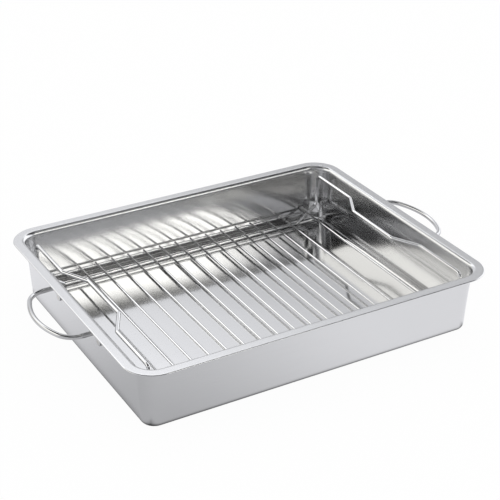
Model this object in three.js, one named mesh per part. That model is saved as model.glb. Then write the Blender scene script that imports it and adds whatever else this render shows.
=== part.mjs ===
// Roasting pan with a loose wire rack, in millimetres, +Z up.
// The origin is the centre of the ring that the pan stands on.
// +X runs along the long side and +Y towards the back.
import * as THREE from 'three';
import { mergeVertices } from 'three/addons/utils/BufferGeometryUtils.js';

// Clearance between pieces that touch on the real object
const GAP = 0.3;

// Pan: one pressed sheet with a flat flange, whose edge is folded under into a hem
const RIM_LENGTH = 400;
const RIM_DEPTH = 322;
const RIM_CORNER_RADIUS = 31;
const PAN_HEIGHT = 68.2;
const SHEET = 0.8;
const FLANGE_WIDTH = 11.2;
const HEM_WIDTH = 4;
const RIM_BEND_RADIUS = 4;
const WALL_CORNER_RADIUS = 19.8;
const WALL_DRAFT = THREE.MathUtils.degToRad(4.3);
const FLOOR_BEND_RADIUS = 6;
const FLOOR_CORNER_RADIUS = 8;
const CORNER_STEPS = 8;
const FLOOR_BEND_STEPS = 6;
const RIM_BEND_STEPS = 4;

// The floor is a panel, raised within a narrow groove that runs all round it
const PANEL_RISE = 4.2;
const PANEL_EDGE_RADIUS = 2.2;
const PANEL_CORNER_RADIUS = 12;
const GROOVE_RADIUS = 2.2;
const GROOVE_FLAT = 1.6;
const PANEL_EDGE_STEPS = 4;

// Pan handles: a bow of round wire on each end wall, its legs welded to round-ended tabs
const HANDLE_WIRE = 5;
const HANDLE_DROP = 12;
const HANDLE_LEG_SPACING = 97;
const HANDLE_CORNER_RADIUS = 22;
const HANDLE_BOW_RADIUS = 84;
const HANDLE_REACH = 30;
const HANDLE_BOW_HALF_ANGLE = THREE.MathUtils.degToRad(22);
const TAB_WIDTH = 11.5;
const TAB_HEIGHT = 21.5;
const TAB_THICKNESS = 1.5;
const TAB_TOP_DROP = 6;

// Rack frame: thick wire, bent to foot rails on the floor panel, ramps, legs and a handle bar across each end
const FRAME_WIRE = 4;
const RAIL_SPACING = 265.6;
const RAMP_FOOT_X = 147.5;
const RAMP_TOP = 25;
const LEG_X = 175;
const LEG_SPACING = 271;
const BAR_DROP = 6.5;
const BAR_INSET = 15.7;
const BAR_SHOULDER_END = 66;
const BAR_GRIP_END = 36;
const FRAME_BEND_RADIUS = 7;
const RAMP_BEND_RADIUS = 9;

// Rack grid: cross wires on two end wires
const CROSS_WIRE = 2.4;
const CROSS_WIRE_LENGTH = 281;
const CROSS_WIRE_LEVEL = 18.9;
const CROSS_WIRE_PITCH = 19.45;
const INNER_CROSS_WIRES = 14;
const OUTER_CROSS_WIRE_X = 159;
const END_WIRE = 2.6;
const END_WIRE_LENGTH = 312.4;
const END_WIRE_SPACING = 277.8;

const WIRE_SIDES = 12;
const BEND_STEP = THREE.MathUtils.degToRad(15);
const BEND_CHORD = 8;

const SIDES = { left: -1, right: 1 };
const ENDS = { front: -1, back: 1 };

const satinSteel = new THREE.MeshStandardMaterial({ color: 0xd2d3d6, roughness: 0.35, metalness: 1 });
const polishedWire = new THREE.MeshStandardMaterial({ color: 0xdcdcdd, roughness: 0.12, metalness: 1 });

// A bent wire's centre line: straight runs between corners that are rounded to a radius.
// Its stations stand at the ends of each straight run and around each bend.
class WirePath extends THREE.Curve {
  constructor(corners) {
    super();
    this.points = [];
    this.tangents = [];
    corners.forEach((corner, i) => {
      const before = corners[i - 1];
      const after = corners[i + 1];
      if (before && after) {
        this.addBend(before.at, corner.at, after.at, corner.radius);
      } else {
        const along = before ? corner.at.clone().sub(before.at) : after.at.clone().sub(corner.at);
        this.addStation(corner.at.clone(), along.normalize());
      }
    });
  }

  addStation(point, tangent) {
    this.points.push(point);
    this.tangents.push(tangent);
  }

  addBend(from, corner, to, radius) {
    const arriving = corner.clone().sub(from).normalize();
    const leaving = to.clone().sub(corner).normalize();
    const turn = arriving.angleTo(leaving);
    const axis = arriving.clone().cross(leaving).normalize();
    const start = corner.clone().addScaledVector(arriving, -radius * Math.tan(turn / 2));
    const centre = start.clone().addScaledVector(axis.clone().cross(arriving), radius);
    const steps = Math.ceil(Math.max(turn / BEND_STEP, radius * turn / BEND_CHORD));
    for (let i = 0; i <= steps; i += 1) {
      const angle = turn * i / steps;
      const arm = start.clone().sub(centre).applyAxisAngle(axis, angle);
      this.addStation(arm.add(centre), arriving.clone().applyAxisAngle(axis, angle));
    }
  }

  get steps() {
    return this.points.length - 1;
  }

  getPointAt(u, target = new THREE.Vector3()) {
    return target.copy(this.points[Math.round(u * this.steps)]);
  }

  getTangentAt(u, target = new THREE.Vector3()) {
    return target.copy(this.tangents[Math.round(u * this.steps)]);
  }
}

function corner(x, y, z, radius) {
  return { at: new THREE.Vector3(x, y, z), radius };
}

function bentWire(name, diameter, corners) {
  const path = new WirePath(corners);
  const section = new THREE.Shape();
  section.absarc(0, 0, diameter / 2, 0, 2 * Math.PI);
  const geometry = new THREE.ExtrudeGeometry(section, {
    steps: path.steps,
    extrudePath: path,
    curveSegments: WIRE_SIDES / 2,
  });
  const wire = new THREE.Mesh(geometry, polishedWire);
  wire.name = name;
  return wire;
}

function straightWire(name, diameter, length) {
  const geometry = new THREE.CylinderGeometry(diameter / 2, diameter / 2, length, WIRE_SIDES);
  const wire = new THREE.Mesh(geometry, polishedWire);
  wire.name = name;
  return wire;
}

// How far the wall leans in from its top edge at a height
function wallInset(height) {
  return (PAN_HEIGHT - height) * Math.tan(WALL_DRAFT);
}

// The middle of the bend between floor and wall, as an offset from the top of the wall's outside
function floorBendOffset() {
  const touch = FLOOR_BEND_RADIUS * (1 - Math.sin(WALL_DRAFT));
  return -wallInset(touch) - FLOOR_BEND_RADIUS * Math.cos(WALL_DRAFT);
}

// How far the sheet turns down from the floor panel into the groove
function panelTurn() {
  return Math.acos(1 - PANEL_RISE / (PANEL_EDGE_RADIUS + GROOVE_RADIUS));
}

function grooveOffset() {
  return floorBendOffset() - GROOVE_FLAT;
}

function panelOffset() {
  return grooveOffset() - (PANEL_EDGE_RADIUS + GROOVE_RADIUS) * Math.sin(panelTurn());
}

// The sheet's corner radius at an offset from the top of the wall's outside.
// It tightens evenly round the floor bend, widens to the panel, and the flange is wider at the corners.
function cornerRadius(offset) {
  const floorBendStart = -wallInset(FLOOR_BEND_RADIUS);
  const rimBendEnd = RIM_BEND_RADIUS - SHEET;
  if (offset < floorBendOffset()) {
    const share = (floorBendOffset() - offset) / (floorBendOffset() - panelOffset());
    return THREE.MathUtils.lerp(FLOOR_CORNER_RADIUS, PANEL_CORNER_RADIUS, share);
  }
  if (offset < floorBendStart) {
    const share = (floorBendStart - offset) / (floorBendStart - floorBendOffset());
    return THREE.MathUtils.lerp(WALL_CORNER_RADIUS + floorBendStart, FLOOR_CORNER_RADIUS, share);
  }
  const concentric = WALL_CORNER_RADIUS + Math.min(offset, rimBendEnd);
  const flange = THREE.MathUtils.clamp((offset - rimBendEnd) / (FLANGE_WIDTH - rimBendEnd), 0, 1);
  return THREE.MathUtils.lerp(concentric, RIM_CORNER_RADIUS, flange);
}

// One level outline of the pan, a rectangle with round corners
function outline(offset, height) {
  const halfX = RIM_LENGTH / 2 - FLANGE_WIDTH + offset;
  const halfY = RIM_DEPTH / 2 - FLANGE_WIDTH + offset;
  const radius = cornerRadius(offset);
  const points = [];
  for (let quarter = 0; quarter < 4; quarter += 1) {
    const signX = quarter === 0 || quarter === 3 ? 1 : -1;
    const signY = quarter < 2 ? 1 : -1;
    for (let i = 0; i <= CORNER_STEPS; i += 1) {
      const angle = (quarter + i / CORNER_STEPS) * Math.PI / 2;
      const x = signX * (halfX - radius) + radius * Math.cos(angle);
      const y = signY * (halfY - radius) + radius * Math.sin(angle);
      points.push(new THREE.Vector3(x, y, height));
    }
  }
  return points;
}

// Offsets and heights around an arc of the sheet's section
function sectionArc(centreOffset, centreHeight, radius, fromAngle, toAngle, steps) {
  const stations = [];
  for (let i = 0; i <= steps; i += 1) {
    const angle = THREE.MathUtils.degToRad(THREE.MathUtils.lerp(fromAngle, toAngle, i / steps));
    stations.push([centreOffset + radius * Math.cos(angle), centreHeight + radius * Math.sin(angle)]);
  }
  return stations;
}

// The sheet's section, from the underside of the floor panel out to the hem and back down to the panel inside
function sheetSection() {
  const draft = THREE.MathUtils.radToDeg(WALL_DRAFT);
  const turn = THREE.MathUtils.radToDeg(panelTurn());
  const panel = [panelOffset(), PANEL_RISE + SHEET - PANEL_EDGE_RADIUS];
  const groove = [grooveOffset(), SHEET + GROOVE_RADIUS];
  const bend = [floorBendOffset(), FLOOR_BEND_RADIUS];
  const rimHeight = PAN_HEIGHT - RIM_BEND_RADIUS;
  const rimUnderRadius = RIM_BEND_RADIUS - SHEET;
  const rim = [rimUnderRadius / Math.cos(WALL_DRAFT) - wallInset(rimHeight), rimHeight];
  const hemStart = FLANGE_WIDTH - HEM_WIDTH;
  return [
    ...sectionArc(...panel, PANEL_EDGE_RADIUS - SHEET, 90, 90 - turn, PANEL_EDGE_STEPS).slice(0, -1),
    ...sectionArc(...groove, GROOVE_RADIUS + SHEET, 270 - turn, 270, PANEL_EDGE_STEPS),
    ...sectionArc(...bend, FLOOR_BEND_RADIUS, -90, -draft, FLOOR_BEND_STEPS),
    ...sectionArc(...rim, rimUnderRadius, 180 - draft, 90, RIM_BEND_STEPS),
    [hemStart, PAN_HEIGHT - SHEET],
    [hemStart, PAN_HEIGHT - 2 * SHEET],
    ...sectionArc(FLANGE_WIDTH - SHEET, PAN_HEIGHT - SHEET, SHEET, -90, 90, RIM_BEND_STEPS),
    ...sectionArc(...rim, RIM_BEND_RADIUS, 90, 180 - draft, RIM_BEND_STEPS),
    ...sectionArc(...bend, FLOOR_BEND_RADIUS - SHEET, -draft, -90, FLOOR_BEND_STEPS),
    ...sectionArc(...groove, GROOVE_RADIUS, 270, 270 - turn, PANEL_EDGE_STEPS).slice(0, -1),
    ...sectionArc(...panel, PANEL_EDGE_RADIUS, 90 - turn, 90, PANEL_EDGE_STEPS),
  ];
}

// The pan is its section carried round the outline, closed by the two faces of its floor panel
function panBody() {
  const rings = sheetSection().map(([offset, height]) => outline(offset, height));
  const count = rings[0].length;
  const positions = rings.flat().flatMap((point) => point.toArray());
  const faces = [];
  for (let ring = 0; ring + 1 < rings.length; ring += 1) {
    for (let i = 0; i < count; i += 1) {
      const a = ring * count + i;
      const b = ring * count + (i + 1) % count;
      faces.push(a, b, b + count, a, b + count, a + count);
    }
  }
  const underCentre = positions.length / 3;
  const lastRing = (rings.length - 1) * count;
  positions.push(0, 0, PANEL_RISE, 0, 0, PANEL_RISE + SHEET);
  for (let i = 0; i < count; i += 1) {
    const next = (i + 1) % count;
    faces.push(underCentre, next, i);
    faces.push(underCentre + 1, lastRing + i, lastRing + next);
  }
  const geometry = new THREE.BufferGeometry();
  geometry.setAttribute('position', new THREE.Float32BufferAttribute(positions, 3));
  geometry.setIndex(faces);
  const body = new THREE.Mesh(mergeVertices(geometry), satinSteel);
  body.geometry.computeVertexNormals();
  body.name = 'pan_body';
  return body;
}

// A round-ended plate that lies on the leaning end wall, under the flange
function handleTab(side, end) {
  const shape = new THREE.Shape();
  const round = TAB_WIDTH / 2;
  const reach = TAB_HEIGHT / 2 - round;
  shape.absarc(0, reach, round, 0, Math.PI);
  shape.absarc(0, -reach, round, Math.PI, 2 * Math.PI);
  const geometry = new THREE.ExtrudeGeometry(shape, {
    depth: TAB_THICKNESS,
    bevelEnabled: false,
    curveSegments: 8,
  });
  const tab = new THREE.Mesh(geometry, satinSteel);
  tab.name = `handle_tab_${side}_${end}`;
  const height = PAN_HEIGHT - TAB_TOP_DROP - TAB_HEIGHT / 2;
  const sign = SIDES[side];
  const up = new THREE.Vector3(sign * Math.sin(WALL_DRAFT), 0, Math.cos(WALL_DRAFT));
  const outward = new THREE.Vector3(sign * Math.cos(WALL_DRAFT), 0, -Math.sin(WALL_DRAFT));
  const across = up.clone().cross(outward);
  tab.quaternion.setFromRotationMatrix(new THREE.Matrix4().makeBasis(across, up, outward));
  tab.position.set(sign * wallX(height), ENDS[end] * HANDLE_LEG_SPACING / 2, height);
  tab.position.addScaledVector(outward, GAP);
  return tab;
}

// Where the outside of the end wall stands at a height
function wallX(height) {
  return RIM_LENGTH / 2 - FLANGE_WIDTH - wallInset(height);
}

function panHandle(side) {
  const sign = SIDES[side];
  const height = PAN_HEIGHT - HANDLE_DROP;
  const tabFace = wallX(height) + GAP + TAB_THICKNESS;
  const apex = RIM_LENGTH / 2 + HANDLE_REACH;
  const bowCorner = apex + HANDLE_BOW_RADIUS * (1 / Math.cos(HANDLE_BOW_HALF_ANGLE) - 1);
  const legY = HANDLE_LEG_SPACING / 2;
  const legCorner = bowCorner - legY * Math.tan(HANDLE_BOW_HALF_ANGLE);
  return bentWire(`pan_handle_${side}`, HANDLE_WIRE, [
    corner(sign * (tabFace + GAP), legY, height),
    corner(sign * legCorner, legY, height, HANDLE_CORNER_RADIUS),
    corner(sign * bowCorner, 0, height, HANDLE_BOW_RADIUS),
    corner(sign * legCorner, -legY, height, HANDLE_CORNER_RADIUS),
    corner(sign * (tabFace + GAP), -legY, height),
  ]);
}

// One half of the rack's frame: half of each foot rail, the ramps, the legs and the handle bar
function rackFrame(side) {
  const sign = SIDES[side];
  const railLevel = PANEL_RISE + SHEET + GAP + FRAME_WIRE / 2;
  const barLevel = PAN_HEIGHT - BAR_DROP;
  const halfway = (end) => [
    corner(sign * GAP / 2, end * RAIL_SPACING / 2, railLevel),
    corner(sign * RAMP_FOOT_X, end * RAIL_SPACING / 2, railLevel, FRAME_BEND_RADIUS),
    corner(sign * LEG_X, end * LEG_SPACING / 2, RAMP_TOP, RAMP_BEND_RADIUS),
    corner(sign * LEG_X, end * LEG_SPACING / 2, barLevel, FRAME_BEND_RADIUS),
    corner(sign * LEG_X, end * BAR_SHOULDER_END, barLevel, FRAME_BEND_RADIUS),
    corner(sign * (LEG_X - BAR_INSET), end * BAR_GRIP_END, barLevel, FRAME_BEND_RADIUS),
  ];
  return bentWire(`rack_frame_${side}`, FRAME_WIRE, [...halfway(1), ...halfway(-1).reverse()]);
}

function rackEndWire(end) {
  const wire = straightWire(`rack_end_wire_${end}`, END_WIRE, END_WIRE_LENGTH);
  const level = CROSS_WIRE_LEVEL - CROSS_WIRE / 2 - GAP - END_WIRE / 2;
  wire.rotation.z = Math.PI / 2;
  wire.position.set(0, ENDS[end] * END_WIRE_SPACING / 2, level);
  return wire;
}

function rackCrossWires() {
  const places = [-OUTER_CROSS_WIRE_X];
  for (let i = 0; i < INNER_CROSS_WIRES; i += 1) {
    places.push((i - (INNER_CROSS_WIRES - 1) / 2) * CROSS_WIRE_PITCH);
  }
  places.push(OUTER_CROSS_WIRE_X);
  return places.map((x, i) => {
    const number = String(i + 1).padStart(2, '0');
    const wire = straightWire(`rack_cross_wire_${number}`, CROSS_WIRE, CROSS_WIRE_LENGTH);
    wire.position.set(x, 0, CROSS_WIRE_LEVEL);
    return wire;
  });
}

const pan = new THREE.Group();
pan.add(panBody());
for (const side of Object.keys(SIDES)) {
  pan.add(panHandle(side));
  for (const end of Object.keys(ENDS)) {
    pan.add(handleTab(side, end));
  }
}

const rack = new THREE.Group();
rack.add(rackFrame('left'), rackFrame('right'));
rack.add(rackEndWire('front'), rackEndWire('back'));
rack.add(...rackCrossWires());

const roastingPan = new THREE.Group();
roastingPan.add(pan, rack);

export default roastingPan;
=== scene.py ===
import math

import bmesh
import bpy
from mathutils import Matrix, Vector


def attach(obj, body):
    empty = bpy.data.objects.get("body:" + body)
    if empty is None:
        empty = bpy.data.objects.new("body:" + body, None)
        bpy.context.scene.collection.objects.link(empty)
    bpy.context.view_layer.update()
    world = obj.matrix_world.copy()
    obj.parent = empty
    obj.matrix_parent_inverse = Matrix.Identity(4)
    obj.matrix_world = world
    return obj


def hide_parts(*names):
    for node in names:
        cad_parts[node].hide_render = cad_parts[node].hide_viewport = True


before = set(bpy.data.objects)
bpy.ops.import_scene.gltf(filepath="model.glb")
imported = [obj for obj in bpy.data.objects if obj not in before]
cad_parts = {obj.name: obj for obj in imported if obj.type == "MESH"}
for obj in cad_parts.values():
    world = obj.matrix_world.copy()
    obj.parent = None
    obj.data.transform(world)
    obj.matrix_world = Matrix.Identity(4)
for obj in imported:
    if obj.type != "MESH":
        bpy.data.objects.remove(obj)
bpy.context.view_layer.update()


# The pan is one stainless sheet, drawn in a press to leaning walls and a floor panel raised within a groove.
# Its rim is turned out to a flat flange all round, and the edge is folded under into a hem.
# The floor keeps the mill's bright finish, and the walls and the flange are brushed along their length.

MM = 0.001
RIM_LENGTH = 400
RIM_DEPTH = 322
RIM_CORNER_RADIUS = 31
PAN_HEIGHT = 68.2
SHEET = 0.8
FLANGE_WIDTH = 11.2
HEM_WIDTH = 4
HEM_GAP = 0.12
HEM_LIP_RADIUS = 0.3
RIM_BEND_RADIUS = 4
WALL_CORNER_RADIUS = 19.8
WALL_LEAN = 0.055
WALL_FLARE = 0.0022
FLARE_START = 32.2
FLOOR_BEND_RADIUS = 6
FLOOR_CORNER_RADIUS = 8
GROOVE_FLAT = 1.6
GROOVE_RADIUS = 2.2
PANEL_RISE = 4.2
PANEL_EDGE_RADIUS = 2.2
PANEL_CORNER_RADIUS = 12
CORNER_STEPS = 24
RUN_STEPS = 20
EDGE_STEPS = 10
FLOOR_BEND_STEPS = 16
RIM_UNDER_STEPS = 8
HEM_LIP_STEPS = 6
WALL_SHARES = (0.02, *(step / 10 for step in range(1, 10)), 0.98)
PANEL_SHARES = (0.985, 0.8, 0.55, 0.3)
SHEET_CREASE = math.radians(35)

SHEET_TONE = 0.69
SHEET_ROUGHNESS = 0.2
BRUSHED_GRAIN = (14, 2400, 1)
DRAWN_GRAIN = (3, 160, 1)
ROLLED_GRAIN = (20, 700, 1)


def wall_slope(height):
    """How much the wall leans out for each millimetre it rises."""
    return WALL_LEAN + WALL_FLARE * max(height - FLARE_START, 0)


def wall_inset(height):
    """How far the wall's outside lies in from the line of its top edge."""
    flared = (PAN_HEIGHT - FLARE_START) ** 2 - max(height - FLARE_START, 0) ** 2
    return WALL_LEAN * (PAN_HEIGHT - height) + WALL_FLARE / 2 * flared


def floor_bend_offset():
    """The middle of the bend between floor and wall, set so that the wall runs out of it without a kink."""
    tilt = math.atan(WALL_LEAN)
    touch = FLOOR_BEND_RADIUS * (1 - math.sin(tilt))
    return -wall_inset(touch) - FLOOR_BEND_RADIUS * math.cos(tilt)


def panel_edge():
    """How far the sheet turns down round the panel's edge, and the offsets of the panel and of the groove."""
    radii = PANEL_EDGE_RADIUS + GROOVE_RADIUS
    turn = math.acos(1 - PANEL_RISE / radii)
    groove = floor_bend_offset() - GROOVE_FLAT
    return math.degrees(turn), groove - radii * math.sin(turn), groove


def corner_radius(offset):
    """The sheet's corner radius at an offset from the line of the wall's top edge."""
    bend_start = -wall_inset(FLOOR_BEND_RADIUS)
    bend_end = RIM_BEND_RADIUS - SHEET
    groove = bend_start - FLOOR_BEND_RADIUS
    if offset < groove:
        share = min((groove - offset) / (groove - panel_edge()[1]), 1)
        return FLOOR_CORNER_RADIUS + (PANEL_CORNER_RADIUS - FLOOR_CORNER_RADIUS) * share
    if offset < bend_start:
        share = (bend_start - offset) / FLOOR_BEND_RADIUS
        wall = WALL_CORNER_RADIUS + bend_start
        return wall + (FLOOR_CORNER_RADIUS - wall) * share
    concentric = WALL_CORNER_RADIUS + min(offset, bend_end)
    flange = max(0, min(1, (offset - bend_end) / (FLANGE_WIDTH - bend_end)))
    return concentric + (RIM_CORNER_RADIUS - concentric) * flange


def sheet_ring(offset, height):
    """One level ring of the sheet: four round corners with straight runs between them."""
    half_x = RIM_LENGTH / 2 - FLANGE_WIDTH + offset
    half_y = RIM_DEPTH / 2 - FLANGE_WIDTH + offset
    radius = corner_radius(offset)
    ring = []
    for quarter, (side_x, side_y) in enumerate(((1, 1), (-1, 1), (-1, -1), (1, -1))):
        centre = Vector((side_x * (half_x - radius), side_y * (half_y - radius), height))
        for step in range(CORNER_STEPS + 1):
            angle = (quarter + step / CORNER_STEPS) * math.pi / 2
            ring.append(centre + radius * Vector((math.cos(angle), math.sin(angle), 0)))
        along = Vector((-math.sin(angle), math.cos(angle), 0))
        length = 2 * (half_x - radius if quarter % 2 == 0 else half_y - radius)
        start = ring[-1]
        ring.extend(start + along * length * step / RUN_STEPS for step in range(1, RUN_STEPS))
    return ring


def section_arc(offset, height, radius, first, last, steps):
    """Offsets and heights around a bend of the sheet's section."""
    angles = [math.radians(first + (last - first) * step / steps) for step in range(steps + 1)]
    return [(offset + radius * math.cos(angle), height + radius * math.sin(angle)) for angle in angles]


def between(start, end, shares):
    """Offsets and heights at some shares of the way along a flat run of the section."""
    return [tuple(a + (b - a) * share for a, b in zip(start, end)) for share in shares]


def sheet_section():
    """The runs of the sheet's section: from under the floor panel, up and round the hem, and back inside."""
    tilt = math.degrees(math.atan(WALL_LEAN))
    turn, panel_offset, groove_offset = panel_edge()
    panel = (panel_offset, PANEL_RISE + SHEET - PANEL_EDGE_RADIUS)
    groove = (groove_offset, SHEET + GROOVE_RADIUS)
    bend = (floor_bend_offset(), FLOOR_BEND_RADIUS)
    rim_height = PAN_HEIGHT - RIM_BEND_RADIUS
    flare = math.atan(wall_slope(rim_height))
    rim_start = 180 - math.degrees(flare)
    under_radius = RIM_BEND_RADIUS - SHEET
    rim_offset = under_radius * math.cos(flare) - wall_inset(rim_height + under_radius * math.sin(flare))
    rim = (rim_offset, rim_height)
    hem_offset = FLANGE_WIDTH - HEM_WIDTH
    hem_top = PAN_HEIGHT - SHEET - HEM_GAP
    fold_centre = (FLANGE_WIDTH - SHEET, PAN_HEIGHT - SHEET)
    lip = (hem_offset + HEM_LIP_RADIUS, hem_top - HEM_LIP_RADIUS)

    bend_under = section_arc(*bend, FLOOR_BEND_RADIUS, -90, -tilt, FLOOR_BEND_STEPS)
    rim_under = section_arc(*rim, under_radius, rim_start, 90, RIM_UNDER_STEPS)
    hem_lip = section_arc(*lip, HEM_LIP_RADIUS, 90, 270, HEM_LIP_STEPS)
    fold = section_arc(*fold_centre, SHEET, -90, 90, EDGE_STEPS)
    rim_top = section_arc(*rim, RIM_BEND_RADIUS, 90, rim_start, EDGE_STEPS)
    low, high = bend_under[-1][1], rim_under[0][1]
    levels = [low + (high - low) * share for share in WALL_SHARES]
    wall_in = []
    for level in reversed(levels):
        slope = wall_slope(level)
        through = SHEET / math.hypot(1, slope)
        wall_in.append((-wall_inset(level) - through, level + through * slope))
    return {
        "panel_under": section_arc(*panel, PANEL_EDGE_RADIUS - SHEET, 90, 90 - turn, EDGE_STEPS)[:-1],
        "groove_under": section_arc(*groove, GROOVE_RADIUS + SHEET, 270 - turn, 270, EDGE_STEPS),
        "bend_under": bend_under,
        "wall_under": [(-wall_inset(level), level) for level in levels],
        "rim_under": rim_under,
        "flange_under": between(rim_under[-1], fold_centre, (0.05, 0.5, 0.97)),
        "hem_in": [(fold_centre[0], hem_top)],
        "hem_lip": hem_lip,
        "hem_under": between(hem_lip[-1], fold[0], (0.1, 0.95)),
        "fold": fold,
        "flange_top": between(fold[-1], rim_top[0], (0.03, 0.5, 0.97)),
        "rim_top": rim_top,
        "wall_in": wall_in,
        "bend_in": section_arc(*bend, FLOOR_BEND_RADIUS - SHEET, -tilt, -90, FLOOR_BEND_STEPS),
        "groove_in": section_arc(*groove, GROOVE_RADIUS, 270, 270 - turn, EDGE_STEPS)[:-1],
        "panel_in": section_arc(*panel, PANEL_EDGE_RADIUS, 90 - turn, 90, EDGE_STEPS),
    }


def run_lengths(points, closed=False):
    """The length run along a line of points, at each of them."""
    lengths = [0]
    for point, after in zip(points, points[1:] + points[:1] if closed else points[1:]):
        lengths.append(lengths[-1] + (after - point).length)
    return lengths


def across_to(run):
    """How far across the sheet laid flat a run of its section begins."""
    points = []
    for name, stations in sheet_section().items():
        if name == run:
            return run_lengths([Vector((*station, 0)) for station in points + stations[:1]])[-1] * MM
        points += stations


def sheet_mesh():
    """The section carried round the outline, closed by the two faces of the floor panel.

    Its UV map is the sheet laid flat: along the outline, and across from the panel's underside to its top.
    """
    mesh = bmesh.new()
    laid_flat = mesh.loops.layers.uv.new("sheet")
    section = sum(sheet_section().values(), [])
    rings = [sheet_ring(offset, height) for offset, height in section]
    along = run_lengths(sheet_ring(0, 0), closed=True)
    across = run_lengths([Vector((offset, height, 0)) for offset, height in section])
    under = [[Vector((p.x * s, p.y * s, p.z)) for p in rings[0]] for s in reversed(PANEL_SHARES)]
    inside = [[Vector((p.x * s, p.y * s, p.z)) for p in rings[-1]] for s in PANEL_SHARES]
    levels = [across[0]] * len(under) + across + [across[-1]] * len(inside)
    rows = [[mesh.verts.new(p * MM) for p in ring] for ring in under + rings + inside]
    for row, above, level, level_above in zip(rows, rows[1:], levels, levels[1:]):
        for i in range(len(row)):
            after = (i + 1) % len(row)
            face = mesh.faces.new((row[i], row[after], above[after], above[i]))
            places = ((i, level), (i + 1, level), (i + 1, level_above), (i, level_above))
            for loop, (step, height) in zip(face.loops, places):
                loop[laid_flat].uv = (along[step] * MM, height * MM)
    for row, level, turn in ((rows[0], PANEL_RISE, -1), (rows[-1], PANEL_RISE + SHEET, 1)):
        pole = mesh.verts.new(Vector((0, 0, level)) * MM)
        for i in range(len(row)):
            pair = (row[i], row[(i + 1) % len(row)])
            face = mesh.faces.new((pole, *pair[::turn]))
            for loop in face.loops:
                loop[laid_flat].uv = (0, (across[0] if turn < 0 else across[-1]) * MM)
    return mesh


def finished_piece(name, mesh):
    """Turns a bmesh into a smooth piece in the scene, with creases where it turns sharply."""
    data = bpy.data.meshes.new(name)
    mesh.to_mesh(data)
    mesh.free()
    data.shade_smooth()
    data.set_sharp_from_angle(angle=SHEET_CREASE)
    piece = bpy.data.objects.new(name, data)
    bpy.context.scene.collection.objects.link(piece)
    return piece


class Flow:
    """A value on its way through a node tree: its operators add Math nodes, and add() adds any other node."""

    def __init__(self, tree, socket=None):
        self.tree = tree
        self.socket = socket

    def add(self, kind, sockets=None, out=0, **settings):
        node = self.tree.nodes.new(kind)
        for name, value in settings.items():
            setattr(node, name, value)
        for name, value in (sockets or {}).items():
            if isinstance(value, Flow):
                self.tree.links.new(value.socket, node.inputs[name])
            else:
                node.inputs[name].default_value = value
        return Flow(self.tree, node.outputs[out] if node.outputs else None)

    def math(self, operation, first, second=0.0):
        return self.add("ShaderNodeMath", {0: first, 1: second}, operation=operation)

    def __add__(self, other):
        return self.math("ADD", self, other)

    def __sub__(self, other):
        return self.math("SUBTRACT", self, other)

    def __rsub__(self, other):
        return self.math("SUBTRACT", other, self)

    def __mul__(self, other):
        return self.math("MULTIPLY", self, other)

    def __abs__(self):
        return self.math("ABSOLUTE", self)

    __radd__ = __add__
    __rmul__ = __mul__

    def eased(self, start, end, first=0.0, last=1.0):
        """Goes softly from first to last as the value goes from start to end, and holds beyond them."""
        return self.add("ShaderNodeMapRange", {
            "Value": self, "From Min": start, "From Max": end, "To Min": first, "To Max": last,
        }, interpolation_type="SMOOTHSTEP")


def new_finish(name):
    """A material with an empty node tree, and a Flow to fill it."""
    finish = bpy.data.materials.new(name)
    finish.use_nodes = True
    finish.node_tree.nodes.clear()
    return finish, Flow(finish.node_tree)


def uneven(flow, place, scale, detail, roughness=0.5):
    """A noise that wanders about zero."""
    noise = flow.add("ShaderNodeTexNoise", {
        "Vector": place, "Scale": scale, "Detail": detail, "Roughness": roughness,
    })
    return noise - 0.5


def bare_metal(flow, tint, roughness, relief, strength, depth=0.1 * MM):
    """Ends a tree in bare metal, with its tint as red, green and blue values, and a fine relief."""
    red, green, blue = tint
    colour = flow.add("ShaderNodeCombineColor", {"Red": red, "Green": green, "Blue": blue})
    bump = flow.add("ShaderNodeBump", {"Strength": strength, "Distance": depth, "Height": relief})
    surface = flow.add("ShaderNodeBsdfPrincipled", {
        "Base Color": colour,
        "Metallic": 1.0,
        "Roughness": roughness,
        "Normal": bump,
    })
    flow.add("ShaderNodeOutputMaterial", {"Surface": surface})


def steel_sheet():
    """Bright-rolled floor, walls and flange brushed along their length, and a folded edge worn bright."""
    steel, flow = new_finish("stainless_sheet")
    place = flow.add("ShaderNodeTexCoord", out="Object")
    laid_flat = flow.add("ShaderNodeTexCoord", out="UV")
    across = flow.add("ShaderNodeSeparateXYZ", {0: laid_flat}, out="Y")
    brushed = flow.add("ShaderNodeMapping", {"Vector": laid_flat, "Scale": BRUSHED_GRAIN})
    drawn = flow.add("ShaderNodeMapping", {"Vector": laid_flat, "Scale": DRAWN_GRAIN})
    rolled = flow.add("ShaderNodeMapping", {"Vector": place, "Scale": ROLLED_GRAIN})
    lines = uneven(flow, brushed, 1.0, 4.0, 0.65)
    bands = uneven(flow, drawn, 1.0, 2.0)
    grain = uneven(flow, rolled, 1.0, 3.0, 0.6)
    smears = uneven(flow, place, 16.0, 3.0)
    speckle = uneven(flow, place, 1500.0, 2.0)
    inside = across.eased(across_to("wall_in"), across_to("wall_in") + 3 * MM)
    floor = across.eased(across_to("bend_in") - 3 * MM, across_to("bend_in") + 5 * MM)
    worn = abs(across - across_to("flange_top")).eased(0.4 * MM, 1.8 * MM, 1.0, 0.0)
    walls = 1 - floor
    streaks = walls * lines + 0.5 * floor * grain
    patches = 0.6 * smears + 0.4 * walls * bands
    bright = 0.07 * inside + 0.04 * floor + 0.08 * worn
    roughness = SHEET_ROUGHNESS - bright + 0.06 * patches + 0.06 * streaks
    tone = SHEET_TONE + 0.03 * worn + 0.08 * streaks + 0.04 * patches + 0.03 * speckle
    relief = (0.5 - 0.3 * inside) * streaks + (0.12 - 0.1 * inside) * speckle
    bare_metal(flow, (tone, tone, tone), roughness, relief, strength=0.1)
    return steel


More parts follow.
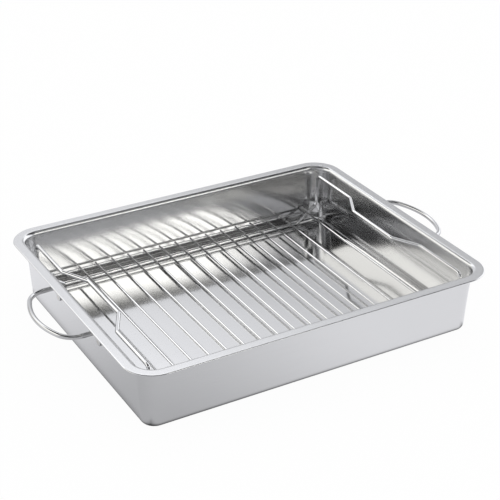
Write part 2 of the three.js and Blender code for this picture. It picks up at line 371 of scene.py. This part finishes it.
pan_sheet = finished_piece("pan_sheet", sheet_mesh())
pan_sheet.data.materials.append(steel_sheet())
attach(pan_sheet, "pan")
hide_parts("pan_body")


# Four round-ended plates, punched from thicker stainless sheet and spot-welded to the end walls.
# Each lies under the flange and carries one leg of a pan handle.

SIDES = {"left": -1, "right": 1}
ENDS = {"front": -1, "back": 1}
TAB_WIDTH = 11.5
TAB_HEIGHT = 21.5
TAB_THICKNESS = 1.5
TAB_TOP_DROP = 6
TAB_MIDDLE = PAN_HEIGHT - TAB_TOP_DROP - TAB_HEIGHT / 2
LEG_SPACING = 97
TAB_EDGE_RADIUS = 0.45
TAB_EDGE_STEPS = 4
TAB_FACE_STEPS = 14
TAB_SPOKES = 64
WELD_PIT_DEPTH = 0.35
WELD_PIT_RADIUS = 1.9
WELD_PIT_HEIGHT = 7.2

TAB_TONE = 0.67
TAB_ROUGHNESS = 0.26
GROUND_GRAIN = (2200, 2200, 60)


def end_wall(height):
    """How far out the outside of the end wall stands at a height."""
    return RIM_LENGTH / 2 - FLANGE_WIDTH - wall_inset(height)


def tab_mesh(side, end):
    """A stadium in rings: up its edge, over the rounded rim and in to its middle line, with two weld pits."""
    radius = TAB_WIDTH / 2
    reach = TAB_HEIGHT / 2 - radius
    foot = Vector((side * end_wall(TAB_MIDDLE), end * LEG_SPACING / 2, TAB_MIDDLE))
    up = Vector((side * wall_slope(TAB_MIDDLE), 0, 1)).normalized()
    outward = Vector((side, 0, -wall_slope(TAB_MIDDLE))).normalized()
    across = up.cross(outward)
    rows = [(0, 0)]
    for step in range(TAB_EDGE_STEPS + 1):
        angle = math.pi / 2 * step / TAB_EDGE_STEPS
        level = TAB_THICKNESS - TAB_EDGE_RADIUS * (1 - math.sin(angle))
        rows.append((TAB_EDGE_RADIUS * (1 - math.cos(angle)), level))
    for step in range(1, TAB_FACE_STEPS + 1):
        inset = TAB_EDGE_RADIUS + (radius - TAB_EDGE_RADIUS) * step / TAB_FACE_STEPS
        rows.append((inset, TAB_THICKNESS))
    mesh = bmesh.new()
    rings = []
    for inset, level in rows:
        ring = []
        for spoke in range(TAB_SPOKES):
            angle = 2 * math.pi * spoke / TAB_SPOKES
            middle = reach if math.sin(angle) >= 0 else -reach
            a = (radius - inset) * math.cos(angle)
            b = (radius - inset) * math.sin(angle) + middle
            pit = min(math.hypot(a, abs(b) - WELD_PIT_HEIGHT) / WELD_PIT_RADIUS, 1)
            sunk = WELD_PIT_DEPTH * (1 + math.cos(math.pi * pit)) / 2 if level == TAB_THICKNESS else 0
            ring.append(mesh.verts.new((foot + across * a + up * b + outward * (level - sunk)) * MM))
        rings.append(ring)
    for ring, inner in zip(rings, rings[1:]):
        for spoke in range(TAB_SPOKES):
            after = (spoke + 1) % TAB_SPOKES
            mesh.faces.new((ring[spoke], ring[after], inner[after], inner[spoke]))
    mesh.faces.new(reversed(rings[0]))
    bmesh.ops.remove_doubles(mesh, verts=mesh.verts, dist=1e-6)
    bmesh.ops.recalc_face_normals(mesh, faces=mesh.faces)
    return mesh


def satin_plate():
    """Ground up and down before punching, with painted shade at its rim, and dulled and tinted by its two
    spot welds.
    """
    steel, flow = new_finish("satin_plate")
    place = flow.add("ShaderNodeTexCoord", out="Object")
    ground = flow.add("ShaderNodeMapping", {"Vector": place, "Scale": GROUND_GRAIN})
    lines = uneven(flow, ground, 1.0, 3.0)
    smears = uneven(flow, place, 120.0, 3.0)
    level = flow.add("ShaderNodeSeparateXYZ", {0: place}, out="Z")
    side = flow.add("ShaderNodeSeparateXYZ", {0: place}, out="Y")
    along = abs(level - TAB_MIDDLE * MM) * 1000
    across = (abs(side) - LEG_SPACING / 2 * MM) * 1000
    from_pit = along - WELD_PIT_HEIGHT
    heat = (from_pit * from_pit + across * across).eased(1.5, 14.0, 1.0, 0.0)
    # Painted shade: the tone darkens over the last 1.3 mm in to the plate's edge.
    past_straight = flow.math("MAXIMUM", along - (TAB_HEIGHT - TAB_WIDTH) / 2, 0.0)
    from_middle = past_straight * past_straight + across * across
    rim = from_middle.eased((TAB_WIDTH / 2 - 1.3) ** 2, (TAB_WIDTH / 2 - 0.2) ** 2)
    tone = TAB_TONE + 0.08 * lines + 0.05 * smears - 0.06 * heat - 0.34 * rim
    tint = (tone + 0.02 * heat, tone, tone - 0.04 * heat)
    roughness = TAB_ROUGHNESS + 0.08 * smears + 0.1 * heat
    bare_metal(flow, tint, roughness, lines, strength=0.15)
    return steel


tab_steel = satin_plate()
for side_name, side in SIDES.items():
    for end_name, end in ENDS.items():
        tab = finished_piece(f"tab_{side_name}_{end_name}", tab_mesh(side, end))
        tab.data.materials.append(tab_steel)
        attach(tab, "pan")
        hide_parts(f"handle_tab_{side_name}_{end_name}")


# Two carrying handles, each a bow of polished stainless wire bent in a jig.
# The cut ends of both legs are fillet-welded to the tabs.

HANDLE_WIRE = 5
HANDLE_DROP = 12
HANDLE_LEVEL = PAN_HEIGHT - HANDLE_DROP
HANDLE_CORNER_RADIUS = 22
HANDLE_BOW_RADIUS = 84
HANDLE_REACH = 30
HANDLE_BOW_HALF_ANGLE = math.radians(22)
HANDLE_SIDES = 32
HANDLE_BEND_STEPS = 24
WIRE_CREASE = math.radians(40)

HANDLE_TONE = 0.6
HANDLE_ROUGHNESS = 0.06


def new_tree(name, inputs, output):
    """An empty Geometry Nodes tree with named inputs and one output, as a Flow and the inputs' Flows."""
    tree = bpy.data.node_groups.new(name, "GeometryNodeTree")
    for label, kind in inputs.items():
        tree.interface.new_socket(label, in_out="INPUT", socket_type=f"NodeSocket{kind}")
    tree.interface.new_socket(output, in_out="OUTPUT", socket_type="NodeSocketGeometry")
    flow = Flow(tree)
    given = flow.add("NodeGroupInput").socket.node.outputs
    return flow, {label: Flow(tree, given[label]) for label in inputs}


def round_wire(flow, path, diameter, sides):
    """A round section carried along a path, closed at both ends."""
    section = flow.add("GeometryNodeCurvePrimitiveCircle", {
        "Resolution": sides, "Radius": 0.5 * diameter,
    }, mode="RADIUS")
    return flow.add("GeometryNodeCurveToMesh", {"Curve": path, "Profile Curve": section, "Fill Caps": True})


def end_tree(flow, shape, finish, output):
    """Ends a Geometry Nodes tree, with its instances made real and given their finish."""
    whole = flow.add("GeometryNodeRealizeInstances", {"Geometry": shape})
    finished = flow.add("GeometryNodeSetMaterial", {"Geometry": whole, "Material": finish})
    flow.add("NodeGroupOutput", {output: finished})
    return flow.tree


def bent_wire_nodes():
    """Bends a path of straight lines at its corners and carries a round section along it."""
    flow, given = new_tree("bent_wire", {
        "Path": "Geometry",
        "Wire Diameter": "Float",
        "Sides": "Int",
        "Bend Steps": "Int",
        "Finish": "Material",
    }, "Wire")
    radius = flow.add("GeometryNodeInputNamedAttribute", {"Name": "bend_radius"}, data_type="FLOAT")
    path = flow.add("GeometryNodeMeshToCurve", {"Mesh": given["Path"]})
    bent = flow.add("GeometryNodeFilletCurve", {
        "Curve": path, "Count": given["Bend Steps"], "Radius": radius,
    }, mode="POLY")
    wire = round_wire(flow, bent, given["Wire Diameter"], given["Sides"])
    return end_tree(flow, wire, given["Finish"], "Wire")


def made_by(tree, name, values, start=None):
    """Runs a node tree on a start mesh and keeps the result as a plain smooth mesh."""
    piece = bpy.data.objects.new(name, start or bpy.data.meshes.new(name))
    bpy.context.scene.collection.objects.link(piece)
    nodes = piece.modifiers.new(name, "NODES")
    nodes.node_group = tree
    for item in tree.interface.items_tree:
        if item.in_out == "INPUT" and item.name in values:
            nodes[item.identifier] = values[item.name]
    settled = piece.evaluated_get(bpy.context.evaluated_depsgraph_get())
    mesh = bpy.data.meshes.new_from_object(settled)
    piece.modifiers.clear()
    piece.data = mesh
    mesh.shade_smooth()
    mesh.set_sharp_from_angle(angle=WIRE_CREASE)
    return piece


def wire_path(name, corners):
    """A path of straight lines through corners (x, y, z, bend radius), in millimetres."""
    path = bpy.data.meshes.new(name)
    points = [Vector(corner[:3]) * MM for corner in corners]
    path.from_pydata(points, [(i, i + 1) for i in range(len(points) - 1)], [])
    bends = path.attributes.new("bend_radius", "FLOAT", "POINT")
    for bend, corner in zip(bends.data, corners):
        bend.value = corner[3] * MM
    return path


def bright_wire(name, shade, dullness):
    """Drawn wire with a mirror finish, a little smeared and pitted."""
    metal, flow = new_finish(name)
    place = flow.add("ShaderNodeTexCoord", out="Object")
    smears = uneven(flow, place, 90.0, 4.0)
    pits = uneven(flow, place, 900.0, 2.0)
    tone = shade + 0.06 * smears
    bare_metal(flow, (tone, tone, tone), dullness + 0.08 * smears, pits, strength=0.05)
    return metal


def handle_path(side):
    """The bow's straight lines, from one tab out to the grip and back to the other tab."""
    tab_face = end_wall(HANDLE_LEVEL) + TAB_THICKNESS
    bow_rise = HANDLE_BOW_RADIUS * (1 / math.cos(HANDLE_BOW_HALF_ANGLE) - 1)
    bow_corner = RIM_LENGTH / 2 + HANDLE_REACH + bow_rise
    leg = LEG_SPACING / 2
    leg_corner = bow_corner - leg * math.tan(HANDLE_BOW_HALF_ANGLE)
    return wire_path("handle_path", [
        (side * tab_face, leg, HANDLE_LEVEL, 0),
        (side * leg_corner, leg, HANDLE_LEVEL, HANDLE_CORNER_RADIUS),
        (side * bow_corner, 0, HANDLE_LEVEL, HANDLE_BOW_RADIUS),
        (side * leg_corner, -leg, HANDLE_LEVEL, HANDLE_CORNER_RADIUS),
        (side * tab_face, -leg, HANDLE_LEVEL, 0),
    ])


bent_wire = bent_wire_nodes()
handle_polish = bright_wire("polished_handle_wire", HANDLE_TONE, HANDLE_ROUGHNESS)
for side_name, side in SIDES.items():
    handle = made_by(bent_wire, f"handle_{side_name}", {
        "Wire Diameter": HANDLE_WIRE * MM,
        "Sides": HANDLE_SIDES,
        "Bend Steps": HANDLE_BEND_STEPS,
        "Finish": handle_polish,
    }, start=handle_path(side))
    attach(handle, "pan")
    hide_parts(f"pan_handle_{side_name}")


# The handle's legs are fixed to the tabs by a fillet of weld metal run round each wire.
# The bead is a little uneven, dull, and tinted straw to blue by its heat.

FILLET_REACH = 1.5
FILLET_STEPS = 8
FILLET_SPOKES = 40
LEG_OVERLAP = 0.05
TAB_OVERLAP = 0.12

WELD_TONE = 0.56
WELD_ROUGHNESS = 0.3


def fillet_mesh(side, end):
    """A hollow fillet lathed round the leg, its toe wavering as the bead was run."""
    face = end_wall(HANDLE_LEVEL) + TAB_THICKNESS
    mesh = bmesh.new()
    rings = []
    for step in range(FILLET_STEPS + 1):
        share = step / FILLET_STEPS
        climb = FILLET_REACH * (1 - math.sin(math.pi / 2 * share))
        spread = FILLET_REACH * (1 - math.cos(math.pi / 2 * share))
        ring = []
        for spoke in range(FILLET_SPOKES):
            angle = 2 * math.pi * spoke / FILLET_SPOKES
            waver = 1 + 0.12 * math.sin(5 * angle + end) + 0.07 * math.sin(11 * angle + 2 * side)
            radius = HANDLE_WIRE / 2 - LEG_OVERLAP + spread * waver
            lean = -wall_slope(HANDLE_LEVEL) * radius * math.sin(angle)
            x = side * (face + climb * waver - TAB_OVERLAP - lean)
            y = end * LEG_SPACING / 2 + radius * math.cos(angle)
            ring.append(mesh.verts.new(Vector((x, y, HANDLE_LEVEL + radius * math.sin(angle))) * MM))
        rings.append(ring)
    for ring, wider in zip(rings, rings[1:] + rings[:1]):
        for spoke in range(FILLET_SPOKES):
            after = (spoke + 1) % FILLET_SPOKES
            mesh.faces.new((ring[spoke], ring[after], wider[after], wider[spoke]))
    bmesh.ops.recalc_face_normals(mesh, faces=mesh.faces)
    return mesh


def weld_metal():
    """Steel that has flowed and set, with a rippled skin and a faint heat tint."""
    steel, flow = new_finish("weld_metal")
    place = flow.add("ShaderNodeTexCoord", out="Object")
    ripples = uneven(flow, place, 1400.0, 3.0)
    straw = uneven(flow, place, 260.0, 2.0).eased(-0.15, 0.15)
    tone = WELD_TONE + 0.12 * ripples
    tint = (tone + 0.03 * straw, tone, tone + 0.02 - 0.06 * straw)
    roughness = WELD_ROUGHNESS + 0.16 * ripples
    bare_metal(flow, tint, roughness, ripples, strength=0.3, depth=0.2 * MM)
    return steel


weld_steel = weld_metal()
for side_name, side in SIDES.items():
    for end_name, end in ENDS.items():
        fillet = finished_piece(f"handle_weld_{side_name}_{end_name}", fillet_mesh(side, end))
        fillet.data.materials.append(weld_steel)
        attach(fillet, "pan")


# The rack's frame is thick plated wire, bent to foot rails on the floor panel, ramps, legs and two end bars.
# It is made in two halves, which are butt-welded in the middle of the rails.

FRAME_WIRE = 4
RAIL_SPACING = 265.6
RAIL_GAP = 0.05
RAIL_LEVEL = PANEL_RISE + SHEET + RAIL_GAP + FRAME_WIRE / 2
RAMP_FOOT_X = 147.5
RAMP_TOP = 25
LEG_X = 175
FRAME_LEG_SPACING = 271
BAR_DROP = 6.5
BAR_INSET = 15.7
BAR_SHOULDER_END = 66
BAR_GRIP_END = 36
FRAME_BEND_RADIUS = 7
RAMP_BEND_RADIUS = 9
FRAME_SIDES = 28
FRAME_BEND_STEPS = 10

RACK_TONE = 0.78
RACK_ROUGHNESS = 0.05


def frame_path(side):
    """Half of the frame: from the middle of one rail, up and along the end bar, to the other rail."""
    bar = PAN_HEIGHT - BAR_DROP
    bend = FRAME_BEND_RADIUS
    rail = RAIL_SPACING / 2
    leg = FRAME_LEG_SPACING / 2
    half = [
        (0, rail, RAIL_LEVEL, 0),
        (side * RAMP_FOOT_X, rail, RAIL_LEVEL, bend),
        (side * LEG_X, leg, RAMP_TOP, RAMP_BEND_RADIUS),
        (side * LEG_X, leg, bar, bend),
        (side * LEG_X, BAR_SHOULDER_END, bar, bend),
        (side * (LEG_X - BAR_INSET), BAR_GRIP_END, bar, bend),
    ]
    return wire_path("frame_path", half + [(x, -y, z, r) for x, y, z, r in reversed(half)])


rack_plating = bright_wire("plated_rack_wire", RACK_TONE, RACK_ROUGHNESS)
for side_name, side in SIDES.items():
    rack_frame = made_by(bent_wire, f"frame_{side_name}", {
        "Wire Diameter": FRAME_WIRE * MM,
        "Sides": FRAME_SIDES,
        "Bend Steps": FRAME_BEND_STEPS,
        "Finish": rack_plating,
    }, start=frame_path(side))
    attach(rack_frame, "rack")
    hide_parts(f"rack_frame_{side_name}")


# Sixteen thin plated cross wires lie on two end wires, which are cut to fit between the frame's ramps.
# They are resistance-welded to the end wires, and the outer two to the ramps.

CROSS_WIRE = 2.4
CROSS_WIRE_LENGTH = 281
CROSS_WIRE_LEVEL = 18.9
CROSS_WIRE_PITCH = 19.45
INNER_CROSS_WIRES = 14
OUTER_CROSS_WIRE_X = 159
END_WIRE = 2.6
END_WIRE_LENGTH = 312.4
END_WIRE_SPACING = 277.8
WELD_SINK = 0.25
END_WIRE_LEVEL = CROSS_WIRE_LEVEL - CROSS_WIRE / 2 - END_WIRE / 2 + WELD_SINK
THIN_WIRE_SIDES = 20


for end_name, end in ENDS.items():
    y = end * END_WIRE_SPACING / 2
    end_wire = made_by(bent_wire, f"end_wire_{end_name}", {
        "Wire Diameter": END_WIRE * MM,
        "Sides": THIN_WIRE_SIDES,
        "Bend Steps": 1,
        "Finish": rack_plating,
    }, start=wire_path("end_wire_path", [
        (-END_WIRE_LENGTH / 2, y, END_WIRE_LEVEL, 0),
        (END_WIRE_LENGTH / 2, y, END_WIRE_LEVEL, 0),
    ]))
    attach(end_wire, "rack")
    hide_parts(f"rack_end_wire_{end_name}")


def wire_row_nodes():
    """A row of like wires at an even pitch, with one more wire beyond each end of the row."""
    flow, given = new_tree("cross_wires", {
        "Start": "Geometry",
        "Wire Diameter": "Float",
        "Wire Length": "Float",
        "Pitch": "Float",
        "Outer Place": "Float",
        "Level": "Float",
        "Inner Count": "Int",
        "Finish": "Material",
    }, "Wires")
    half = 0.5 * given["Wire Length"]
    start = flow.add("ShaderNodeCombineXYZ", {"Y": 0.0 - half})
    end = flow.add("ShaderNodeCombineXYZ", {"Y": half})
    line = flow.add("GeometryNodeCurvePrimitiveLine", {"Start": start, "End": end})
    wire = round_wire(flow, line, given["Wire Diameter"], THIN_WIRE_SIDES)
    first = flow.add("ShaderNodeCombineXYZ", {
        "X": -0.5 * given["Pitch"] * (given["Inner Count"] - 1), "Z": given["Level"],
    })
    step = flow.add("ShaderNodeCombineXYZ", {"X": given["Pitch"]})
    inner = flow.add("GeometryNodeMeshLine", {
        "Count": given["Inner Count"], "Start Location": first, "Offset": step,
    }, mode="OFFSET")
    outer_first = flow.add("ShaderNodeCombineXYZ", {"X": 0.0 - given["Outer Place"], "Z": given["Level"]})
    outer_step = flow.add("ShaderNodeCombineXYZ", {"X": 2.0 * given["Outer Place"]})
    outer = flow.add("GeometryNodeMeshLine", {
        "Count": 2, "Start Location": outer_first, "Offset": outer_step,
    }, mode="OFFSET")
    places = flow.add("GeometryNodeJoinGeometry", {"Geometry": inner})
    flow.tree.links.new(outer.socket, places.socket.node.inputs["Geometry"])
    row = flow.add("GeometryNodeInstanceOnPoints", {"Points": places, "Instance": wire})
    return end_tree(flow, row, given["Finish"], "Wires")


cross_wires = made_by(wire_row_nodes(), "cross_wires", {
    "Wire Diameter": CROSS_WIRE * MM,
    "Wire Length": CROSS_WIRE_LENGTH * MM,
    "Pitch": CROSS_WIRE_PITCH * MM,
    "Outer Place": OUTER_CROSS_WIRE_X * MM,
    "Level": CROSS_WIRE_LEVEL * MM,
    "Inner Count": INNER_CROSS_WIRES,
    "Finish": rack_plating,
})
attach(cross_wires, "rack")
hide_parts(*(f"rack_cross_wire_{number:02d}" for number in range(1, INNER_CROSS_WIRES + 3)))


# The rack is held together by small upset welds, pressed and melted in the machine.
# One lies at each crossing of a cross wire, one on each ramp, and one rings each rail where the halves meet.

CROSSING_WELD = (1.35, 1.35, 0.95)
CROSSING_LEVEL = CROSS_WIRE_LEVEL - CROSS_WIRE / 2 + WELD_SINK / 2
RAMP_WELD = (1.5, 1.6, 1.2)
RAMP_WELD_PLACE = (160, 134.1, 17.4)
RAIL_WELD = (0.9, 2.12, 2.12)
RAIL_WELD_LIFT = 0.1
WELD_TURN = 0.12
WELD_SEED = 5
NUGGET_SEGMENTS = 16
NUGGET_RINGS = 10


def weld_row_nodes():
    """A rounded nugget on each given point, at the point's own size, turned a little by chance."""
    flow, given = new_tree("weld_nuggets", {
        "Places": "Geometry",
        "Turn": "Float",
        "Seed": "Int",
        "Finish": "Material",
    }, "Welds")
    spread = flow.add("GeometryNodeInputNamedAttribute", {"Name": "spread"}, data_type="FLOAT_VECTOR")
    nugget = flow.add("GeometryNodeMeshUVSphere", {
        "Segments": NUGGET_SEGMENTS, "Rings": NUGGET_RINGS, "Radius": MM,
    })
    turn = flow.add("FunctionNodeRandomValue", {
        2: 0.0 - given["Turn"], 3: given["Turn"], "Seed": given["Seed"],
    }, out=1, data_type="FLOAT")
    turned = flow.add("ShaderNodeCombineXYZ", {"X": turn, "Z": turn})
    row = flow.add("GeometryNodeInstanceOnPoints", {
        "Points": given["Places"], "Instance": nugget, "Rotation": turned, "Scale": spread,
    })
    return end_tree(flow, row, given["Finish"], "Welds")


def weld_places():
    """Points for the welds along the front and the back of the rack, with the size of each nugget."""
    inner = [(i - (INNER_CROSS_WIRES - 1) / 2) * CROSS_WIRE_PITCH for i in range(INNER_CROSS_WIRES)]
    ramp_x, ramp_y, ramp_level = RAMP_WELD_PLACE
    welds = []
    for end in ENDS.values():
        for x in inner:
            welds.append(((x, end * END_WIRE_SPACING / 2, CROSSING_LEVEL), CROSSING_WELD))
        for side in SIDES.values():
            welds.append(((side * ramp_x, end * ramp_y, ramp_level), RAMP_WELD))
        welds.append(((0, end * RAIL_SPACING / 2, RAIL_LEVEL + RAIL_WELD_LIFT), RAIL_WELD))
    places = bpy.data.meshes.new("weld_places")
    places.from_pydata([Vector(place) * MM for place, spread in welds], [], [])
    sizes = places.attributes.new("spread", "FLOAT_VECTOR", "POINT")
    for size, (place, spread) in zip(sizes.data, welds):
        size.vector = spread
    return places


rack_welds = made_by(weld_row_nodes(), "rack_welds", {
    "Turn": WELD_TURN,
    "Seed": WELD_SEED,
    "Finish": weld_steel,
}, start=weld_places())
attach(rack_welds, "rack")


# The studio is a white table in a pale room, whose plain light falls evenly on everything.
# Bright metal mirrors soft lights instead, behind the pan and, one above the other, at its front right.
# The dark between them and overhead draws the black lines in the bends and the wires.

TABLE_SIZE = 6000
TABLE_COLOUR = (0.92, 0.92, 0.92, 1)
TABLE_GLOW = 0.96
FOOT_HALF_LENGTH = 178
FOOT_HALF_DEPTH = 139
# Middle of the painted shade that the table shows in mirrored rays, near the pan's left front corner
PAINTED_SHADE_CORNER = Vector((-190, -110, 0))

table_mesh = bmesh.new()
bmesh.ops.create_grid(table_mesh, x_segments=1, y_segments=1, size=TABLE_SIZE * MM / 2)
table = finished_piece("studio_floor", table_mesh)
white_table, flow = new_finish("white_table")
seen = flow.add("ShaderNodeLightPath", out="Is Camera Ray")
seen_through = flow.add("ShaderNodeLightPath", out="Is Transmission Ray")
mirrored = flow.add("ShaderNodeLightPath", out="Is Glossy Ray")
place = flow.add("ShaderNodeTexCoord", out="Object")
east = flow.add("ShaderNodeSeparateXYZ", {0: place}, out="X")
north = flow.add("ShaderNodeSeparateXYZ", {0: place}, out="Y")
beside = flow.math("MAXIMUM", abs(east) - FOOT_HALF_LENGTH * MM, abs(north) - FOOT_HALF_DEPTH * MM)
from_corner = flow.add("ShaderNodeVectorMath", {
    0: place, 1: PAINTED_SHADE_CORNER * MM,
}, out="Value", operation="DISTANCE")
away = flow.add("ShaderNodeVectorMath", {0: place}, out="Value", operation="LENGTH")
# In mirrored rays the table's glow is painted with shade: a painted shadow round the pan's foot, painted
# shade near its left front corner, and painted shade far from the pan.
past_painted_foot_shadow = beside.eased(0.0, 0.014, 0.03, 1.0)
past_painted_corner_shade = from_corner.eased(0.0, 0.3, 0.57, 1.03)
painted_table_light = past_painted_corner_shade * past_painted_foot_shadow * away.eased(0.35, 1.0, 1.0, 0.6)
shade = flow.add("ShaderNodeCombineColor", {
    "Red": 1 - mirrored * (1 - 0.96 * painted_table_light),
    "Green": 1 - mirrored * (1 - 0.965 * painted_table_light),
    "Blue": 1 - mirrored * (1 - painted_table_light),
})
matt = flow.add("ShaderNodeBsdfDiffuse", {"Color": TABLE_COLOUR})
glow = flow.add("ShaderNodeEmission", {"Color": shade, "Strength": 1.0})
glowing = TABLE_GLOW * (seen + seen_through + mirrored)
mixed = flow.add("ShaderNodeMixShader", {"Fac": glowing, 1: matt, 2: glow})
flow.add("ShaderNodeOutputMaterial", {"Surface": mixed})
table.data.materials.append(white_table)

room = bpy.data.worlds.new("studio_room")
bpy.context.scene.world = room
room.use_nodes = True
room.node_tree.nodes.clear()
flow = Flow(room.node_tree)
mirrored = flow.add("ShaderNodeLightPath", out="Is Glossy Ray")
direction = flow.add("ShaderNodeTexCoord", out="Generated")
sideways = flow.add("ShaderNodeSeparateXYZ", {0: direction}, out="X")
backwards = flow.add("ShaderNodeSeparateXYZ", {0: direction}, out="Y")
upwards = flow.add("ShaderNodeSeparateXYZ", {0: direction}, out="Z")

# Behind the pan the backdrop brightens in steps upwards, and a warmer light stands to its left
behind = backwards.eased(-0.15, 0.3)
left = sideways.eased(-0.08, -0.3)
backdrop = sideways.eased(0.3, 0.56, 0.95, 0.62) + upwards.eased(0.502, 0.514, 0.0, 0.2)
back_right = backdrop + upwards.eased(0.54, 0.59, 0.0, 0.65)
back_left = upwards.eased(0.32, 0.42, 0.68, 1.68) - upwards.eased(0.46, 0.56, 0.0, 0.22)
back_light = (back_right + left * (back_left - back_right)) * upwards.eased(0.66, 0.73, 1.0, 0.02)

# In front, two boxes stand one above the other on the right, and a low band runs on the left
front = sideways + 0.5 * backwards
front_box = abs(front + 0.03).eased(0.1, 0.15, 2.3, 0.0) * upwards.eased(0.2, 0.3)
low_band = upwards.eased(0.28, 0.33) * upwards.eased(0.42, 0.48, 1.0, 0.0)
front_left = 0.75 * front.eased(-0.2, -0.3) * low_band
front_top = upwards.eased(0.6, 0.66, 1.0, 0.03) * abs(upwards - 0.48).eased(0.02, 0.06, 0.05, 1.0)
front_light = (front.eased(-0.25, 0.15, 0.12, 0.53) + front_box + front_left) * front_top

# Soft light comes from both sides, and from overhead on either side of a dark strip
both_sides = sideways.eased(0.62, 0.8) + sideways.eased(-0.62, -0.8, 0.0, 0.35)
side_light = both_sides * upwards.eased(0.6, 0.75, 1.0, 0.0)
overhead = upwards.eased(0.8, 0.9, 0.0, 0.75) * abs(backwards - 0.03).eased(0.14, 0.3)
pattern = behind * back_light + (1 - behind) * front_light + side_light + overhead
warm = behind * left + 0.43 * (1 - behind) * front_box
lamp_colour = flow.add("ShaderNodeCombineColor", {
    "Red": 1 - mirrored * (0.045 - 0.045 * warm),
    "Green": 1 - mirrored * (0.035 - 0.027 * warm),
    "Blue": 1 - mirrored * 0.04 * warm,
})
air = flow.add("ShaderNodeBackground", {
    "Color": lamp_colour,
    "Strength": pattern * mirrored + (1 - mirrored),
})
flow.add("ShaderNodeOutputWorld", {"Surface": air})


# The camera stands where the photograph was taken from: left of the front, looking down into the pan.
# Its place, turn and lens were fitted to the four straight edges of the rim.

CAMERA_PLACE = Vector((-594.16, -1034.87, 710.36))
CAMERA_AIM = Vector((8.276, 3.344, 68.2))
CAMERA_ROLL = math.radians(0.43)
FOCAL_LENGTH = 94.78
SENSOR_WIDTH = 36
NEAREST = 10
FARTHEST = 50000

lens = bpy.data.cameras.new("camera")
lens.lens = FOCAL_LENGTH
lens.sensor_width = SENSOR_WIDTH
lens.clip_start = NEAREST * MM
lens.clip_end = FARTHEST * MM
camera = bpy.data.objects.new("camera", lens)
bpy.context.scene.collection.objects.link(camera)
ahead = (CAMERA_AIM - CAMERA_PLACE).normalized()
right = ahead.cross(Vector((0, 0, 1))).normalized()
above = right.cross(ahead)
turned_right = right * math.cos(CAMERA_ROLL) + above * math.sin(CAMERA_ROLL)
turned_up = above * math.cos(CAMERA_ROLL) - right * math.sin(CAMERA_ROLL)
stance = Matrix((turned_right, turned_up, -ahead)).transposed().to_4x4()
camera.matrix_world = Matrix.Translation(CAMERA_PLACE * MM) @ stance
bpy.context.scene.camera = camera

bpy.context.scene.view_settings.view_transform = "Standard"
